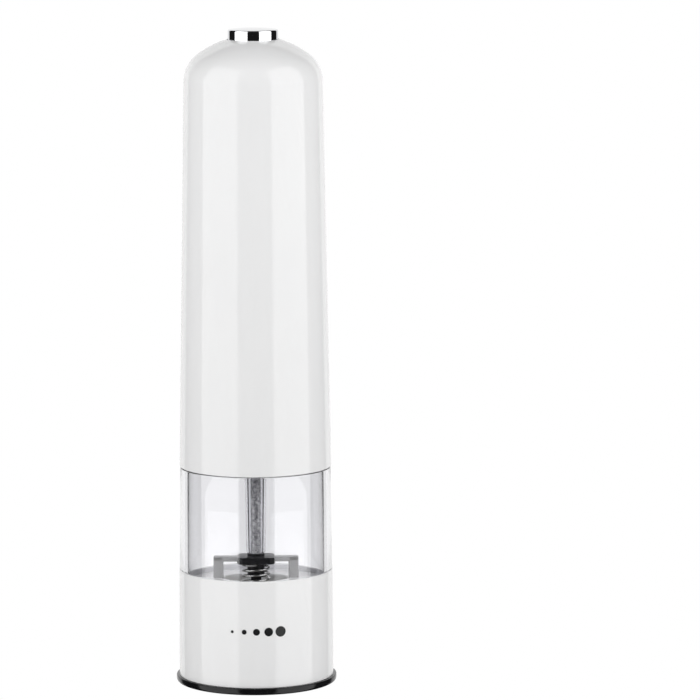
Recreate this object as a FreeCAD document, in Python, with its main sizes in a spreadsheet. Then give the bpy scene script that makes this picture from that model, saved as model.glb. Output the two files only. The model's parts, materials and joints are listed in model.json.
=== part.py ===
import FreeCAD, Part
import math
import os
import re

import Sketcher

# Battery-powered pepper mill, built as separate pieces in one frame.
# Millimetres, +Z up, the front of the mill towards -Y, origin at the middle of the foot's underside.

SIZES = {
    # the outside
    "body_radius": 26.0,
    "base_height": 38.3,
    "chamber_height": 34.8,
    "foot_height": 2.25,
    "sleeve_wall": 2.0,
    "chamber_wall": 3.2,
    "shell_wall": 1.8,
    "shoulder_round": 11.5,
    "crown_radius": 31.0,
    "neck_height": 7.9,
    # the grinder
    "burr_radius": 14.2,
    "burr_bottom": 14.0,
    "burr_height": 20.5,
    "cone_radius": 10.0,
    "cone_height": 17.0,
    "grind_gap": 0.36,
    "mouth_radius": 10.8,
    "spindle_radius": 2.9,
    "knob_radius": 6.0,
    "outlet_radius": 12.4,
    "bridge_span": 28.3,
    "bridge_depth": 4.0,
    "bridge_rise": 5.25,
    "bridge_thick": 1.7,
    "leg_width": 3.3,
    "hub_width": 12.6,
    # the drive
    "shaft_flats": 3.1,
    "tube_radius": 3.7,
    "gear_module": 0.6,
    "sun_teeth": 12,
    "planet_teeth": 18,
    "ring_teeth": 48,
    "backlash": 0.12,
    "gear_width": 5.6,
    "pin_radius": 1.2,
    "carrier_radius": 11.8,
    "case_radius": 18.9,
    "motor_radius": 13.8,
    "motor_length": 31.0,
    "motor_shaft_radius": 1.15,
    # the battery unit
    "cell_radius": 7.1,
    "cell_length": 50.5,
    "cell_nub": 1.4,
    "cell_spring": 3.7,
    "cell_gap": 0.8,
    # the button
    "button_radius": 8.4,
    # screws and fits
    "screw_radius": 1.0,
    "screw_head": 1.9,
    "run_fit": 0.05,
}

RIM = "(base_height + chamber_height)"
NECK = f"({RIM} + neck_height)"
STAGE_LOW = f"({NECK} + 8.4)"
STAGE_HIGH = f"({STAGE_LOW} + gear_width + 3.0)"
MOTOR = f"({STAGE_HIGH} + gear_width + 3.9)"
DECK = f"({MOTOR} + motor_length + 3.5)"
CELL_LOW = f"({DECK} + 2.9)"
CELL_HIGH = f"({CELL_LOW} + cell_spring + cell_length)"
ROOF = f"({CELL_HIGH} + 2.9)"
SHOULDER = f"({ROOF} + 0.4)"
FLOOR = "(base_height - 1.5)"
BAR_LOW = f"({FLOOR} + bridge_rise)"
BAR_HIGH = f"({BAR_LOW} + bridge_thick)"
HUB_LOW = f"({BAR_LOW} - 0.5)"
SPINDLE_TOP = f"({BAR_HIGH} + 0.8)"
CELL_OFFSET = "(cell_radius + cell_gap)"
DOME_R = "(body_radius - 2.8)"
CROWN_Z = (f"({SHOULDER} - sqrt((crown_radius - shoulder_round)^2"
           f" - ({DOME_R} - shoulder_round)^2))")
CENTRES = "(gear_module * (sun_teeth + planet_teeth) / 2)"
SCREW_RING = "(burr_radius + 3.8)"
CASE_SCREWS = "(case_radius - 2.2)"
HOLDER_SCREWS = "(body_radius - 7.6)"
MOTOR_SCREWS = 8
STRIP_REACH = 6.5
PLATE_WIDTH = 5
SHORT = 10
LEAF_WIDTH = 4
LEAF_THICK = 0.35

doc = FreeCAD.newDocument("pepper_mill")
sheet = doc.addObject("Spreadsheet::Sheet", "sizes")
pieces = []


def fill_sheet():
    """Write every named size into the sheet as a plain number with an alias."""
    for row, (alias, value) in enumerate(SIZES.items(), 1):
        sheet.set(f"A{row}", alias)
        sheet.set(f"B{row}", str(value))
        sheet.setAlias(f"B{row}", alias)
    doc.recompute()


def num(expr):
    """Value of an expression in sheet names."""
    return float(expr) if isinstance(expr, (int, float)) else float(sheet.evalExpression(expr))


def bind(obj, path, expr):
    """Tie one property of an object to an expression in sheet names."""
    if isinstance(expr, str):
        obj.setExpression(path, re.sub(r"[a-z]+(_[a-z]+)+", r"sizes.\g<0>", expr))


def new_body(label):
    """A PartDesign body that becomes one exported piece."""
    body = doc.addObject("PartDesign::Body", label)
    body.Label = label
    body.AllowCompound = True
    pieces.append(body)
    return body


def place(obj, x=0, y=0, z=0, rotation=None):
    """Put an object at a spot given by numbers or sheet expressions."""
    spot = FreeCAD.Vector(num(x), num(y), num(z))
    obj.Placement = FreeCAD.Placement(spot, rotation or FreeCAD.Rotation())
    for axis, expr in (("x", x), ("y", y), ("z", z)):
        bind(obj, "Placement.Base." + axis, expr)


def blank_sketch(body, name, role, height=0):
    """Sketch on one of the body's own planes, raised to a height on the XY plane."""
    sketch = body.newObject("Sketcher::SketchObject", name)
    plane = next(o for o in body.Origin.OriginFeatures if o.Role == role)
    sketch.AttachmentSupport = [(plane, "")]
    sketch.MapMode = "FlatFace"
    if height:
        sketch.AttachmentOffset = FreeCAD.Placement(
            FreeCAD.Vector(0, 0, num(height)), FreeCAD.Rotation())
        bind(sketch, "AttachmentOffset.Base.z", height)
    return sketch


def pin_point(sketch, geo, end, x, y):
    """Hold one sketch point at (x, y), bound to the sheet."""
    for kind, axis, expr in (("DistanceX", -2, x), ("DistanceY", -1, y)):
        value = num(expr)
        if abs(value) < 1e-9:
            sketch.addConstraint(Sketcher.Constraint("PointOnObject", geo, end, axis))
        else:
            at = sketch.addConstraint(Sketcher.Constraint(kind, -1, 1, geo, end, value))
            bind(sketch, f"Constraints[{at}]", expr)


def arc_between(start, stop, radius, side):
    """Arc from start to stop whose centre lies left (side 1) or right (side -1)."""
    chord = stop - start
    lift = math.sqrt(max(radius ** 2 - (chord.Length / 2) ** 2, 0))
    normal = FreeCAD.Vector(-chord.y, chord.x, 0).normalize()
    centre = (start + stop) * 0.5 + normal * lift * side
    first, last = (start, stop) if side > 0 else (stop, start)
    begin = math.atan2(first.y - centre.y, first.x - centre.x)
    finish = math.atan2(last.y - centre.y, last.x - centre.x)
    circle = Part.Circle(centre, FreeCAD.Vector(0, 0, 1), radius)
    return Part.ArcOfCircle(circle, begin, finish)


def outline(sketch, path):
    """Closed outline; a corner is (x, y) or (x, y, arc radius, side) for the edge into it."""
    spots = [FreeCAD.Vector(num(p[0]), num(p[1]), 0) for p in path]
    ends = []
    for i, corner in enumerate(path):
        start, stop = spots[i - 1], spots[i]
        if len(corner) == 4:
            geo = sketch.addGeometry(arc_between(start, stop, num(corner[2]), corner[3]))
            at = sketch.addConstraint(Sketcher.Constraint("Radius", geo, num(corner[2])))
            bind(sketch, f"Constraints[{at}]", corner[2])
            ends.append((geo, 1, 2) if corner[3] > 0 else (geo, 2, 1))
        else:
            ends.append((sketch.addGeometry(Part.LineSegment(start, stop)), 1, 2))
    for i, (geo, _, stop_end) in enumerate(ends):
        after, start_end, _ = ends[(i + 1) % len(ends)]
        sketch.addConstraint(Sketcher.Constraint("Coincident", geo, stop_end, after, start_end))
        pin_point(sketch, geo, stop_end, path[i][0], path[i][1])


def turned(body, name, path, angle=360, groove=False):
    """Revolve an outline of (radius, height) corners about the body's Z axis."""
    sketch = blank_sketch(body, name + "_outline", "XZ_Plane")
    outline(sketch, path)
    kind = "PartDesign::Groove" if groove else "PartDesign::Revolution"
    feature = body.newObject(kind, name)
    feature.Profile = sketch
    feature.ReferenceAxis = (sketch, ["V_Axis"])
    feature.Angle = angle
    feature.Midplane = angle < 360
    return feature


def ring_path(inner, outer, low, high):
    """Corners of a plain ring or disc."""
    return [(inner, low), (outer, low), (outer, high), (inner, high)]


def rounded_square(width, radius):
    """Corners of a centred square with rounded corners."""
    far, near = f"({width}) / 2", f"(({width}) / 2 - {radius})"
    path = []
    for out_x, out_y in ((1, -1), (1, 1), (-1, 1), (-1, -1)):
        level = (f"{out_x} * {near}", f"{out_y} * {far}")
        upright = (f"{out_x} * {far}", f"{out_y} * {near}")
        first, second = (level, upright) if out_x * out_y < 0 else (upright, level)
        path += [first, second + (radius, 1)]
    return path


def pad(body, name, corners, low, height):
    """Pad a closed outline up from a height."""
    sketch = blank_sketch(body, name + "_outline", "XY_Plane", low)
    outline(sketch, corners)
    feature = body.newObject("PartDesign::Pad", name)
    feature.Profile = sketch
    feature.Length = num(height)
    bind(feature, "Length", height)
    return feature


def solid(body, kind, name, spot=(0, 0, 0), rotation=None, **sizes):
    """Additive or subtractive primitive with its sizes and place bound to the sheet."""
    feature = body.newObject("PartDesign::" + kind, name)
    for key, expr in sizes.items():
        setattr(feature, key, expr if isinstance(expr, int) else num(expr))
        bind(feature, key, expr)
    place(feature, *spot, rotation=rotation)
    return feature


def block(body, name, wide, deep, low, high, x=0, y=0, cut=False):
    """Upright box centred on (x, y)."""
    spot = (f"{x} - ({wide}) / 2", f"{y} - ({deep}) / 2", low)
    kind = "SubtractiveBox" if cut else "AdditiveBox"
    return solid(body, kind, name, spot, Length=wide, Width=deep, Height=f"({high}) - ({low})")


def rod(body, name, radius, low, high, x=0, y=0, cut=False):
    """Upright cylinder centred on (x, y)."""
    kind = "SubtractiveCylinder" if cut else "AdditiveCylinder"
    return solid(body, kind, name, (x, y, low), Radius=radius, Height=f"({high}) - ({low})")


def hexagon(body, name, flats, low, high, cut=False):
    """Upright hexagonal prism with one flat towards the front."""
    kind = "SubtractivePrism" if cut else "AdditivePrism"
    return solid(body, kind, name, (0, 0, low), Polygon=6,
                 Circumradius=f"({flats}) / 2 / cos(30)", Height=f"({high}) - ({low})")


def around(body, feature, count, start=None):
    """Repeat a feature evenly about the body's Z axis."""
    doc.recompute()
    pattern = body.newObject("PartDesign::PolarPattern", feature.Name + "_ring")
    pattern.Originals = [feature]
    axis = next(o for o in body.Origin.OriginFeatures if o.Role == "Z_Axis")
    pattern.Axis = (axis, [""])
    pattern.Angle = 360
    pattern.Occurrences = int(num(count))
    bind(pattern, "Occurrences", count)
    body.Tip = pattern
    return pattern


def flute(body, name, radius, low, high, slope, bore):
    """Cylinder cut lying along a cone's side, from (r, z) low to (r, z) high, skewed a little."""
    spin = FreeCAD.Rotation(FreeCAD.Vector(1, 0, 0), slope)
    lean = FreeCAD.Rotation(FreeCAD.Vector(0, 1, 0), math.degrees(
        math.atan2(num(high[0]) - num(low[0]), num(high[1]) - num(low[1]))))
    reach = math.hypot(num(high[0]) - num(low[0]), num(high[1]) - num(low[1]))
    return solid(body, "SubtractiveCylinder", name, (low[0], 0, low[1]),
                 rotation=lean.multiply(spin), Radius=bore, Height=reach * radius)


def involute(angle):
    """Involute function of a pressure angle in radians."""
    return math.tan(angle) - angle


def tooth(teeth, inner, outer, internal=False):
    """Corners of one tooth centred on +X, from an inner to an outer radius."""
    module, pressure = num("gear_module"), math.radians(25)
    pitch = module * teeth / 2
    base = pitch * math.cos(pressure)
    thick = (math.pi * module - num("backlash")) / 2
    side = []
    for step in range(5):
        radius = inner + (outer - inner) * step / 4
        swing = involute(pressure) - involute(math.acos(min(base / max(radius, base), 1)))
        half = thick / 2 / pitch + (-swing if internal else swing)
        side.append((radius * math.cos(half), radius * math.sin(half)))
    return side + [(x, -y) for x, y in reversed(side)]


def gear_teeth(body, name, teeth, low, height, internal=False):
    """Ring of teeth standing on (or inside) a blank."""
    module = num("gear_module")
    pitch = module * num(teeth) / 2
    inner, outer = pitch - 1.05 * module, pitch + 0.8 * module
    if internal:
        inner, outer = pitch - 0.8 * module, pitch + 1.05 * module
    one = pad(body, name, tooth(num(teeth), inner, outer, internal), low, height)
    return around(body, one, teeth)


def screw(label, spot, head_z, tip_z, count, head_height=1.6):
    """Group of identical cross-head screws about the Z axis, pointing from head to tip."""
    body = new_body(label)
    up = num(tip_z) > num(head_z)
    ends = (head_z, f"{head_z} + {head_height}") if up else (f"{head_z} - {head_height}", head_z)
    shank = (ends[1], tip_z) if up else (tip_z, ends[0])
    first = rod(body, label + "_shank", "screw_radius", *shank, x=spot)
    around(body, first, count)
    second = rod(body, label + "_head", "screw_head", *ends, x=spot)
    around(body, second, count)
    slot_ends = (head_z, f"{head_z} + 0.6") if up else (f"{head_z} - 0.6", head_z)
    for turn, size in enumerate(((2.2, 0.5), (0.5, 2.2))):
        slot = block(body, f"{label}_slot{turn}", *size, *slot_ends, x=spot, cut=True)
        around(body, slot, count)
    return body


def coil(label, radius, wire, pitch, low, high):
    """Open coil spring round the Z axis."""
    helix = doc.addObject("Part::Helix", label + "_path")
    for key, expr in (("Pitch", pitch), ("Height", f"({high}) - ({low}) - 2 * {wire}"),
                      ("Radius", radius)):
        setattr(helix, key, num(expr))
        bind(helix, key, expr)
    section = doc.addObject("Part::Circle", label + "_wire")
    section.Radius = num(wire)
    bind(section, "Radius", wire)
    place(section, x=radius, rotation=FreeCAD.Rotation(FreeCAD.Vector(1, 0, 0), 90))
    sweep = doc.addObject("Part::Sweep", label)
    sweep.Label = label
    sweep.Sections, sweep.Spine, sweep.Solid, sweep.Frenet = [section], (helix, []), True, True
    place(sweep, z=f"{low} + {wire}")
    pieces.append(sweep)


def leaf(body, name, x, y, foot, tip, side):
    """Bent leaf contact from its foot to its tip; side is 1 when the tip is above the foot."""
    path = [(f"{x} - 3", foot), (f"{x} + 3", foot), (f"{x} + 0.6", tip), (f"{x} - 2.6", tip),
            (f"{x} - 2.6", f"{tip} - {side} * {LEAF_THICK}"),
            (f"{x} + 0.25", f"{tip} - {side} * {LEAF_THICK}"),
            (f"{x} + 2.2", f"{foot} + {side} * {LEAF_THICK}"),
            (f"{x} - 3", f"{foot} + {side} * {LEAF_THICK}")]
    sketch = blank_sketch(body, name + "_outline", "XZ_Plane", f"0 - {y}")
    outline(sketch, path)
    feature = body.newObject("PartDesign::Pad", name)
    feature.Profile = sketch
    feature.Length = LEAF_WIDTH
    feature.Midplane = True


def make_base():
    """Foot ring, bottom plate, sleeve and the screws that clamp them."""
    foot = new_body("foot_ring")
    turned(foot, "foot", [
        ("body_radius - 4.6", 0), ("body_radius + 0.1", 0),
        ("body_radius + 1", 0.9, 0.9, 1), ("body_radius + 1", "foot_height"),
        ("body_radius - 4.6", "foot_height")])
    plate = new_body("bottom_plate")
    turned(plate, "plate", ring_path("outlet_radius", "body_radius - sleeve_wall",
                                     "foot_height", "foot_height + 3"))
    turned(plate, "collar", ring_path("outlet_radius", "outlet_radius + 1.6",
                                      "foot_height + 2.5", "foot_height + 6"))
    hole = rod(plate, "screw_hole", 1.35, "foot_height - 1", "foot_height + 4", x=SCREW_RING, cut=True)
    around(plate, hole, 3)
    sink = rod(plate, "screw_sink", 2.1, "foot_height - 1", "foot_height + 1.7",
               x=SCREW_RING, cut=True)
    around(plate, sink, 3)
    screw("bottom_screws", SCREW_RING, "foot_height + 0.1", "foot_height + 12", 3)
    sleeve = new_body("base_sleeve")
    turned(sleeve, "sleeve", [
        ("body_radius - sleeve_wall", "foot_height"), ("body_radius", "foot_height"),
        ("body_radius - 0.18", "base_height - 0.3"), ("body_radius - 0.42", "base_height", 0.3, 1),
        ("body_radius - sleeve_wall", "base_height")])


def make_grinder_housing():
    """Chamber floor, burr tube and screw bosses in one moulding, with the bridge sockets."""
    body = new_body("grinder_housing")
    tube_low = "burr_bottom - 2"
    turned(body, "housing", [
        ("burr_radius + 0.05", tube_low), ("burr_radius + 2.2", tube_low),
        ("burr_radius + 2.2", f"{FLOOR} - 2.2"), ("body_radius - 5.4", f"{FLOOR} - 2.2"),
        ("body_radius - 5.4", f"{FLOOR} - 5.8"), ("body_radius - 2.05", f"{FLOOR} - 5.8"),
        ("body_radius - 2.05", f"{FLOOR} - 3.8"), ("body_radius - 3.6", f"{FLOOR} - 3.8"),
        ("body_radius - 3.6", f"{FLOOR} - 1.9"), ("body_radius - 4.5", f"{FLOOR} - 1.9"),
        ("body_radius - 4.5", f"{FLOOR} - 0.7"), ("body_radius - 3.6", f"{FLOOR} - 0.7"),
        ("body_radius - 3.6", FLOOR), ("mouth_radius + 0.7", FLOOR),
        ("mouth_radius", f"{FLOOR} - 0.7", 0.7, 1), ("mouth_radius", f"{FLOOR} - 2.3"),
        ("burr_radius + 0.05", f"{FLOOR} - 2.3")])
    crowded = f"{SCREW_RING} + 2.9 > body_radius - chamber_wall - 0.4"
    boss_high = f"({crowded} ? {FLOOR} - 3.9 : {FLOOR} - 2)"
    boss = rod(body, "boss", 2.9, "foot_height + 3", boss_high, x=SCREW_RING)
    around(body, boss, 3)
    pilot = rod(body, "pilot", "screw_radius", "foot_height + 2.9", "foot_height + 12.2",
                x=SCREW_RING, cut=True)
    around(body, pilot, 3)
    for side in (-1, 1):
        block(body, "socket_left" if side < 0 else "socket_right", 1.8, 2.4, f"{FLOOR} - 1.6",
              f"{FLOOR} + 1", x=f"{side} * (bridge_span / 2 - leg_width / 2)", cut=True)
    seal = new_body("chamber_seal")
    solid(seal, "AdditiveTorus", "ring", (0, 0, f"{FLOOR} - 1.3"),
          Radius1="body_radius - 4.02", Radius2=0.48)


def make_burrs():
    """Ceramic ring burr, its retainer and the ceramic cone that turns inside it."""
    low, top = "burr_bottom", "(burr_bottom + burr_height)"
    waist_z = f"({low} + 10)"
    waist_r = "(cone_radius - 3.4)"
    ring = new_body("outer_burr")
    turned(ring, "burr", [
        (f"cone_radius + grind_gap", low), ("burr_radius", low), ("burr_radius", top),
        ("mouth_radius - 0.3", top), (f"{waist_r} + grind_gap + 0.4", f"{waist_z} + 1.2"),
        (f"{waist_r} + grind_gap", waist_z)])
    fine = flute(ring, "fine_flute", 1.3, ("cone_radius + 0.66", f"{low} - 1.5"),
                 (f"{waist_r} + 0.66", f"{waist_z} - 1.5"), 14, 0.42)
    around(ring, fine, 15)
    feed = flute(ring, "feed_flute", 1.6, (f"{waist_r} - 0.3", f"{waist_z} - 2"),
                 ("mouth_radius + 0.6", f"{top} - 1"), -24, 1.15)
    around(ring, feed, 5)
    keeper = new_body("burr_retainer")
    turned(keeper, "keeper", ring_path("burr_radius - 1.4", "burr_radius + 0.05",
                                       "burr_bottom - 2", "burr_bottom"))
    cone = new_body("inner_burr")
    turned(cone, "cone", [
        (0, f"{low} - 1.5"), ("cone_radius - 0.8", f"{low} - 1.5"), ("cone_radius", f"{low} - 0.7"),
        ("cone_radius", low), (waist_r, waist_z), (5.4, f"{low} + cone_height"),
        (0, f"{low} + cone_height")])
    block(cone, "square_bore", 3.5, 3.5, f"{low} - 3", f"{low} + cone_height + 1", cut=True)
    fine = flute(cone, "fine_flute", 1.2, ("cone_radius + 0.2", f"{low} - 1.2"),
                 (f"{waist_r} + 0.2", f"{waist_z} - 1.2"), -16, 0.5)
    around(cone, fine, 14)
    feed = flute(cone, "feed_flute", 1.5, (f"{waist_r} + 1.2", f"{waist_z} - 3"),
                 (6.6, f"{low} + cone_height"), 28, 1.5)
    around(cone, feed, 5)


def make_spindle():
    """Turning spindle, its bridge and bush, the burr spring and the coarseness knob."""
    spindle = new_body("grind_spindle")
    turned(spindle, "cup", ring_path(0, "spindle_radius", f"{FLOOR} + 0.2", SPINDLE_TOP))
    block(spindle, "square", 3.4, 3.4, "burr_bottom - 1.5", f"{FLOOR} + 0.4")
    rod(spindle, "thread", 1.6, "foot_height + 1", "burr_bottom - 1.4")
    hexagon(spindle, "socket", "shaft_flats + 2 * run_fit", f"{SPINDLE_TOP} - 4.1",
            f"{SPINDLE_TOP} + 1", cut=True)
    bridge = new_body("bridge_bracket")
    eye, bush = "(spindle_radius + 1.9)", "(spindle_radius + 0.8)"
    leg_x = "(bridge_span / 2 - leg_width / 2)"
    block(bridge, "bar", "bridge_span", "bridge_depth", BAR_LOW, BAR_HIGH)
    rod(bridge, "eye", eye, BAR_LOW, BAR_HIGH)
    rod(bridge, "bush_hole", bush, f"{BAR_LOW} - 1", f"{BAR_HIGH} + 1", cut=True)
    for name, side in (("left", -1), ("right", 1)):
        block(bridge, "leg_" + name, "leg_width", "bridge_depth", FLOOR, BAR_HIGH,
              x=f"{side} * {leg_x}")
        block(bridge, "tenon_" + name, 1.8, 2.4, f"{FLOOR} - 1.6", f"{FLOOR} + 0.2",
              x=f"{side} * {leg_x}")
    hub = new_body("bridge_bush")
    pad(hub, "hub", rounded_square("hub_width", 2.2), HUB_LOW, f"{BAR_HIGH} - {HUB_LOW}")
    block(hub, "bar_slot", "hub_width + 4", "bridge_depth", BAR_LOW, f"{BAR_HIGH} + 1", cut=True)
    rod(hub, "eye_slot", eye, BAR_LOW, f"{BAR_HIGH} + 1", cut=True)
    rod(hub, "core", bush, HUB_LOW, BAR_HIGH)
    rod(hub, "bore", "spindle_radius + run_fit", f"{HUB_LOW} - 1", f"{BAR_HIGH} + 1", cut=True)
    coil("burr_spring", 4.4, 0.38, 1.7, "(burr_bottom + cone_height)", HUB_LOW)
    knob = new_body("adjust_knob")
    turned(knob, "knob", [
        (0, "foot_height - 1.05"), ("knob_radius - 0.8", "foot_height - 1.05"),
        ("knob_radius", "foot_height - 0.25", 0.8, 1), ("knob_radius", "foot_height + 5"),
        ("knob_radius - 1", "foot_height + 6"), (3.3, "foot_height + 6"),
        (3.3, "burr_bottom - 1.5"), (0, "burr_bottom - 1.5")])
    rod(knob, "thread_bore", 1.65, "foot_height + 0.5", "burr_bottom", cut=True)
    grip = rod(knob, "grip", 0.9, "foot_height - 2", "foot_height + 8", x="knob_radius + 0.5",
               cut=True)
    around(knob, grip, 12)


def make_chamber():
    """Clear pepper chamber with its neck and the bayonet lugs."""
    body = new_body("pepper_chamber")
    inner = "(body_radius - 0.3 - chamber_wall)"
    turned(body, "wall", [
        (inner, f"{FLOOR} - 3.8"), ("body_radius - 2.1", f"{FLOOR} - 3.8"),
        ("body_radius - 2.1", "base_height"), ("body_radius - 0.3", "base_height"),
        ("body_radius - 0.76", RIM), ("body_radius - 2.6", RIM),
        ("body_radius - 2.6", f"{RIM} + 1.2"), ("body_radius - 3.9", f"{RIM} + 1.2"),
        ("body_radius - 3.9", NECK), ("body_radius - 5.8", NECK),
        ("body_radius - 5.8", f"{RIM} + 0.1"), (inner, f"{RIM} - 0.5")])
    lug = turned(body, "lug", ring_path("body_radius - 4.3", "body_radius - 2.7",
                                        f"{RIM} + 4.1", f"{RIM} + 6.1"), angle=26)
    around(body, lug, 3)


def make_power_base():
    """Base of the power unit, its seal, the clear shaft tube and the output bush."""
    low = f"({NECK} - 5.5)"
    body = new_body("power_base")
    turned(body, "base", [
        (6.55, low), ("body_radius - 6.3", low), ("body_radius - 6.3", f"{low} + 1.9"),
        ("body_radius - 7.1", f"{low} + 1.9"), ("body_radius - 7.1", f"{low} + 3.1"),
        ("body_radius - 6.3", f"{low} + 3.1"), ("body_radius - 6.3", NECK),
        ("body_radius - 3.9", NECK), ("body_radius - 3.9", f"{NECK} + 3"),
        (CASE_SCREWS, f"{NECK} + 3"), (CASE_SCREWS, f"{NECK} - 3"),
        (8.5, f"{NECK} - 3"), (8.5, f"{NECK} + 5"), (5.8, f"{NECK} + 5"),
        (5.8, f"{low} + 1.5"), (6.55, f"{low} + 1.5")])
    seal = new_body("spigot_seal")
    solid(seal, "AdditiveTorus", "ring", (0, 0, f"{low} + 2.5"),
          Radius1="body_radius - 6.4", Radius2=0.55)
    tube = new_body("shaft_tube")
    end = f"({SPINDLE_TOP} + 0.35)"
    turned(tube, "tube", [
        (2.15, end), ("tube_radius - 0.5", end), ("tube_radius", f"{RIM} - 2"),
        ("tube_radius", low), (6.5, low), (6.5, f"{low} + 1.5"), (2.5, f"{low} + 1.5"),
        (2.5, f"{RIM} - 2")])
    bush = new_body("output_bush")
    turned(bush, "bush", [
        ("4 + run_fit", f"{NECK} - 3"), (5.8, f"{NECK} - 3"), (5.8, f"{NECK} + 5"),
        (7.2, f"{NECK} + 5"), (7.2, f"{NECK} + 5.8"), ("4 + run_fit", f"{NECK} + 5.8")])


def make_carriers():
    """Output carrier on the drive shaft, and the middle carrier with its own sun gear."""
    shaft = new_body("drive_shaft")
    hexagon(shaft, "shaft", "shaft_flats", f"{SPINDLE_TOP} - 3.8", f"{NECK} + 5")
    low = new_body("output_carrier")
    disc_low = f"({STAGE_LOW} - 2.2)"
    turned(low, "carrier", [
        (0, f"{NECK} - 3"), (4, f"{NECK} - 3"), (4, disc_low), ("carrier_radius", disc_low),
        ("carrier_radius", f"{disc_low} + 2"), (0, f"{disc_low} + 2")])
    hexagon(low, "shaft_socket", "shaft_flats", f"{NECK} - 4", f"{NECK} + 5", cut=True)
    pin = rod(low, "pin", "pin_radius", f"{disc_low} + 1", f"{STAGE_LOW} + gear_width + 0.3",
              x=CENTRES)
    around(low, pin, 3)
    high = new_body("middle_carrier")
    disc_low = f"({STAGE_HIGH} - 2.2)"
    rod(high, "disc", "carrier_radius", disc_low, f"{disc_low} + 2")
    rod(high, "sun_blank", "gear_module * (sun_teeth / 2 - 1)", STAGE_LOW, f"{disc_low} + 1")
    gear_teeth(high, "sun_tooth", "sun_teeth", STAGE_LOW, f"{disc_low} + 1 - {STAGE_LOW}")
    pin = rod(high, "pin", "pin_radius", f"{disc_low} + 1", f"{STAGE_HIGH} + gear_width + 0.3",
              x=CENTRES)
    around(high, pin, 3)


def make_planets():
    """Three planet gears in each of the two stages."""
    for stage, level in (("low", STAGE_LOW), ("high", STAGE_HIGH)):
        for index in range(3):
            body = new_body(f"planet_{stage}_{index + 1}")
            rod(body, "blank", "gear_module * (planet_teeth / 2 - 1)", 0, "gear_width")
            gear_teeth(body, "tooth", "planet_teeth", 0, "gear_width")
            rod(body, "bore", "pin_radius + run_fit", -1, "gear_width + 1", cut=True)
            turn = 120 * index
            place(body, f"{CENTRES} * cos({turn})", f"{CENTRES} * sin({turn})", level,
                  FreeCAD.Rotation(turn + 180 / num("planet_teeth"), 0, 0))


def make_gearbox():
    """Ring gear case, its cap and the long screws that hold them to the power base."""
    case = new_body("gearbox_case")
    ring_root = "(gear_module * (ring_teeth / 2 + 1))"
    top = f"({STAGE_HIGH} + gear_width + 0.9)"
    turned(case, "case", ring_path(ring_root, "case_radius", f"{NECK} + 3", top))
    gear_teeth(case, "ring_tooth", "ring_teeth", f"{STAGE_LOW} - 0.1",
               f"{top} - ({STAGE_LOW}) + 0.1", internal=True)
    hole = rod(case, "screw_hole", "screw_radius", f"{NECK} + 2", f"{top} + 1", x=CASE_SCREWS, cut=True)
    around(case, hole, 3)
    cap = new_body("gearbox_cap")
    turned(cap, "cap", ring_path(3.4, "case_radius", top, MOTOR))
    hole = rod(cap, "screw_hole", "screw_radius", f"{top} - 1", f"{MOTOR} + 1", x=CASE_SCREWS, cut=True)
    around(cap, hole, 3)
    sink = rod(cap, "screw_sink", "screw_head", f"{MOTOR} - 1.6", f"{MOTOR} + 1", x=CASE_SCREWS,
               cut=True)
    around(cap, sink, 3)
    hole = rod(cap, "motor_hole", "screw_radius", f"{top} - 1", f"{MOTOR} + 1", x=MOTOR_SCREWS, cut=True)
    around(cap, hole, 2)
    sink = rod(cap, "motor_sink", "screw_head", f"{top} - 1", f"{top} + 1.4", x=MOTOR_SCREWS, cut=True)
    around(cap, sink, 2)
    screw("gearbox_screws", CASE_SCREWS, MOTOR, f"({NECK} + 3)", 3)
    screw("motor_screws", MOTOR_SCREWS, top, f"({MOTOR} + 2.5)", 2, head_height=1.4)


def make_motor():
    """Motor can, end cap with its terminals, and the turning rotor shaft with the pinion."""
    top = f"({MOTOR} + motor_length)"
    can = new_body("motor_can")
    turned(can, "can", [
        ("motor_shaft_radius + run_fit", MOTOR), ("motor_radius", MOTOR), ("motor_radius", top),
        ("motor_radius - 0.8", top), ("motor_radius - 0.8", f"{MOTOR} + 2.5"), (4, f"{MOTOR} + 2.5"),
        (4, f"{MOTOR} + 4.5"), ("motor_shaft_radius + run_fit", f"{MOTOR} + 4.5")])
    hole = rod(can, "screw_hole", "screw_radius", f"{MOTOR} - 1", f"{MOTOR} + 3", x=MOTOR_SCREWS, cut=True)
    around(can, hole, 2)
    cap = new_body("motor_endcap")
    turned(cap, "cap", [
        ("motor_shaft_radius + run_fit", f"{top} - 3"), (4, f"{top} - 3"), (4, f"{top} - 1.6"),
        ("motor_radius - 0.8", f"{top} - 1.6"), ("motor_radius - 0.8", top),
        ("motor_radius", top), ("motor_radius", f"{top} + 1.6"), (0, f"{top} + 1.6"),
        (0, f"{top} + 1"), ("motor_shaft_radius + run_fit", f"{top} + 1")])
    rotor = new_body("motor_rotor")
    turned(rotor, "shaft", [
        (0, f"{STAGE_HIGH} + 0.2"), ("motor_shaft_radius", f"{STAGE_HIGH} + 0.2"),
        ("motor_shaft_radius", f"{MOTOR} + 6"), (10.5, f"{MOTOR} + 6"), (10.5, f"{top} - 6"),
        (4, f"{top} - 6"), (4, f"{top} - 3.4"), ("motor_shaft_radius", f"{top} - 3.4"),
        ("motor_shaft_radius", f"{top} + 0.7"), (0, f"{top} + 0.7")])
    slot = block(rotor, "winding_slot", 5, 1.6, f"{MOTOR} + 5", f"{top} - 5", x=10, cut=True)
    around(rotor, slot, 5)
    pinion = new_body("motor_pinion")
    length = "(gear_width + 0.2)"
    low = f"({STAGE_HIGH} + 0.1)"
    rod(pinion, "blank", "gear_module * (sun_teeth / 2 - 1)", low, f"{low} + {length}")
    gear_teeth(pinion, "tooth", "sun_teeth", low, length)
    rod(pinion, "bore", "motor_shaft_radius", f"{low} - 1", f"{low} + {length} + 1", cut=True)


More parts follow.
